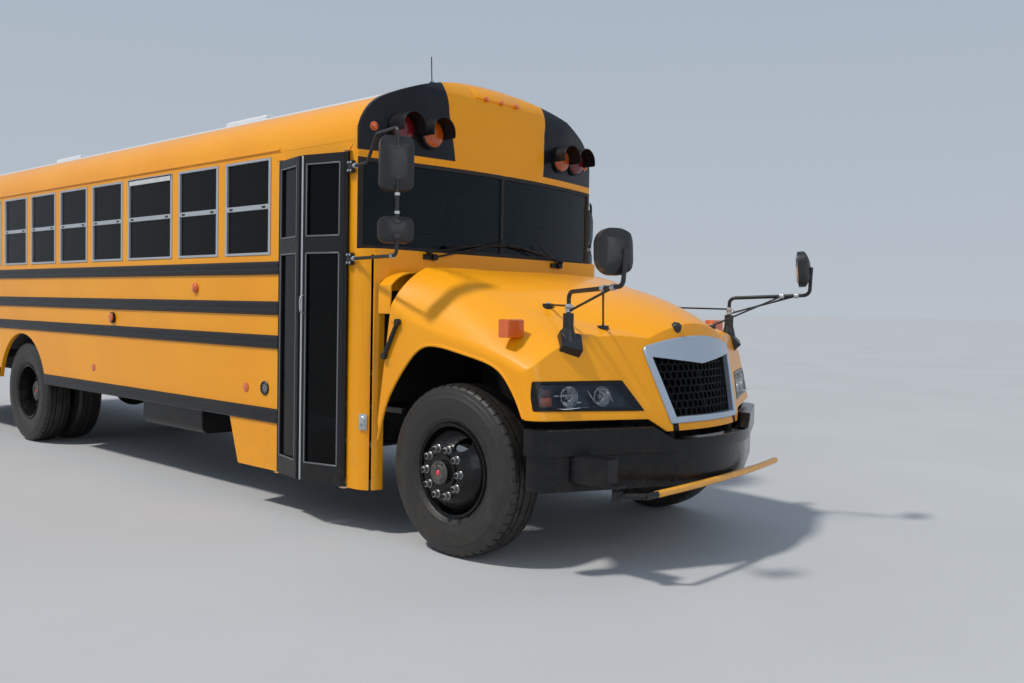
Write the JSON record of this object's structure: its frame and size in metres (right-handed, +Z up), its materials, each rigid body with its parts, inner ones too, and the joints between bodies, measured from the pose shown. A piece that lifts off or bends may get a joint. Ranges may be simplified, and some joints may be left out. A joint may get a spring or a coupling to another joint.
{
  "type": "school bus",
  "caption": "Bonneted school bus with hollow cabin, benches, folding entry door, tilting hood, stop arm, crossing gate and twin rear wheels.",
  "frame": {"origin": "on the ground, midway along the overall length and on the centre line", "axes": "+X forward, +Y to the left, +Z up"},
  "size_m": [11.4004, 2.9618, 3.2619],
  "materials": {
    "yellow": "gloss",
    "white_roof": "gloss",
    "black_steel": "satin",
    "grey_iron": "rough",
    "black_plastic": "matte",
    "silver": "satin",
    "glass": "clear tinted",
    "tyre": "matte",
    "clear_lamp": "clear",
    "red_lamp": "gloss",
    "amber_lamp": "gloss",
    "red_paint": "gloss",
    "gate_yellow": "gloss",
    "floor_rubber": "matte",
    "vinyl": "satin"
  },
  "bodies": {
    "bus": {"cowl": "yellow", "side_wall_right": "yellow", "side_wall_left": "yellow", "front_cap": "yellow", "rear_wall": "yellow", "roof_shell": "white_roof", "frame_rails": "black_steel", "front_axle": "black_steel", "rear_axle": "black_steel", "leaf_springs": "black_steel", "front_bumper": "black_steel", "rear_bumper": "black_steel", "rub_rails": "black_steel", "rear_view_mirrors": "black_steel", "stop_arm_bracket": "black_steel", "roof_antenna": "black_steel", "wipers": "black_steel", "fuel_tank": "black_steel", "bench_frames": "black_steel", "engine_block": "grey_iron", "exhaust": "grey_iron", "windshield_frame": "black_plastic", "dashboard": "black_plastic", "steering_wheel": "black_plastic", "window_frames": "silver", "windshield_glass": "glass", "window_glass": "glass", "warning_lamps": "red_lamp", "marker_lamps": "amber_lamp", "floor": "floor_rubber", "entry_steps": "floor_rubber", "bench_seats": "vinyl", "driver_seat": "vinyl"},
    "hood_unit": {"hood": "yellow", "grille_surround": "silver", "grille_mesh": "black_plastic", "headlamps": "clear_lamp", "fender_lamps": "amber_lamp", "crossview_mirrors": "black_steel", "hood_latches": "black_plastic"},
    "steer_left": {"knuckle_left": "black_steel"},
    "steer_right": {"knuckle_right": "black_steel"},
    "wheel_front_left": {"front_tyre_left": "tyre", "front_wheel_left": "black_steel"},
    "wheel_front_right": {"front_tyre_right": "tyre", "front_wheel_right": "black_steel"},
    "wheel_rear_left": {"rear_tyres_left": "tyre", "rear_wheels_left": "black_steel"},
    "wheel_rear_right": {"rear_tyres_right": "tyre", "rear_wheels_right": "black_steel"},
    "entry_leaf_front": {"door_leaf_front": "black_steel", "door_glass_front": "glass"},
    "entry_leaf_rear": {"door_leaf_rear": "black_steel", "door_glass_rear": "glass"},
    "emergency_door": {"rear_door": "yellow", "rear_door_glass": "glass"},
    "stop_sign_arm": {"stop_arm": "red_paint"},
    "gate_arm": {"crossing_gate": "gate_yellow"},
    "hatch_front": {"roof_hatch_front": "white_roof"},
    "hatch_rear": {"roof_hatch_rear": "white_roof"}
  },
  "joints": [
    {"name": "hood_tilt", "type": "hinge", "parent": "bus", "child": "hood_unit", "pos_m": [5.56, 0, 0.735], "axis": [0, 1, 0], "range_deg": [0, 55]},
    {"name": "steer_left", "type": "hinge", "parent": "bus", "child": "steer_left", "pos_m": [4.46, 0.88, 0.522], "axis": [0, 0, 1], "range_deg": [-35, 35]},
    {"name": "steer_right", "type": "hinge", "parent": "bus", "child": "steer_right", "pos_m": [4.46, -0.88, 0.522], "axis": [0, 0, 1], "range_deg": [-35, 35]},
    {"name": "spin_front_left", "type": "hinge", "parent": "steer_left", "child": "wheel_front_left", "pos_m": [4.46, 1.0415, 0.522], "axis": [0, 1, 0], "continuous": true},
    {"name": "spin_front_right", "type": "hinge", "parent": "steer_right", "child": "wheel_front_right", "pos_m": [4.46, -1.0415, 0.522], "axis": [0, 1, 0], "continuous": true},
    {"name": "spin_rear_left", "type": "hinge", "parent": "bus", "child": "wheel_rear_left", "pos_m": [-1.94, 0.8795, 0.522], "axis": [0, 1, 0], "continuous": true},
    {"name": "spin_rear_right", "type": "hinge", "parent": "bus", "child": "wheel_rear_right", "pos_m": [-1.94, -0.8795, 0.522], "axis": [0, 1, 0], "continuous": true},
    {"name": "entry_door_front", "type": "hinge", "parent": "bus", "child": "entry_leaf_front", "pos_m": [3.522, -1.237, 1.4], "axis": [0, 0, 1], "range_deg": [-13, 72]},
    {"name": "entry_door_rear", "type": "hinge", "parent": "bus", "child": "entry_leaf_rear", "pos_m": [2.794, -1.237, 1.4], "axis": [0, 0, 1], "range_deg": [-72, 13]},
    {"name": "emergency_door", "type": "hinge", "parent": "bus", "child": "emergency_door", "pos_m": [-5.604, -0.478, 1.7], "axis": [0, 0, 1], "range_deg": [0, 100]},
    {"name": "stop_arm_swing", "type": "hinge", "parent": "bus", "child": "stop_sign_arm", "pos_m": [2.7, 1.281, 1.61], "axis": [0, 0, 1], "range_deg": [-90, 0]},
    {"name": "crossing_gate_swing", "type": "hinge", "parent": "bus", "child": "gate_arm", "pos_m": [5.56, -0.985, 0.51], "axis": [0, 0, 1], "range_deg": [-90, 0]},
    {"name": "roof_hatch_front", "type": "hinge", "parent": "bus", "child": "hatch_front", "pos_m": [0.511, 0, 3.126], "axis": [0, -1, 0], "range_deg": [0, 50]},
    {"name": "roof_hatch_rear", "type": "hinge", "parent": "bus", "child": "hatch_rear", "pos_m": [-3.289, 0, 3.126], "axis": [0, -1, 0], "range_deg": [0, 50]}
  ],
  "couplings": [
    {"joint": "steer_right", "follows": "steer_left", "ratio": 1},
    {"joint": "entry_door_rear", "follows": "entry_door_front", "ratio": -1}
  ]
}
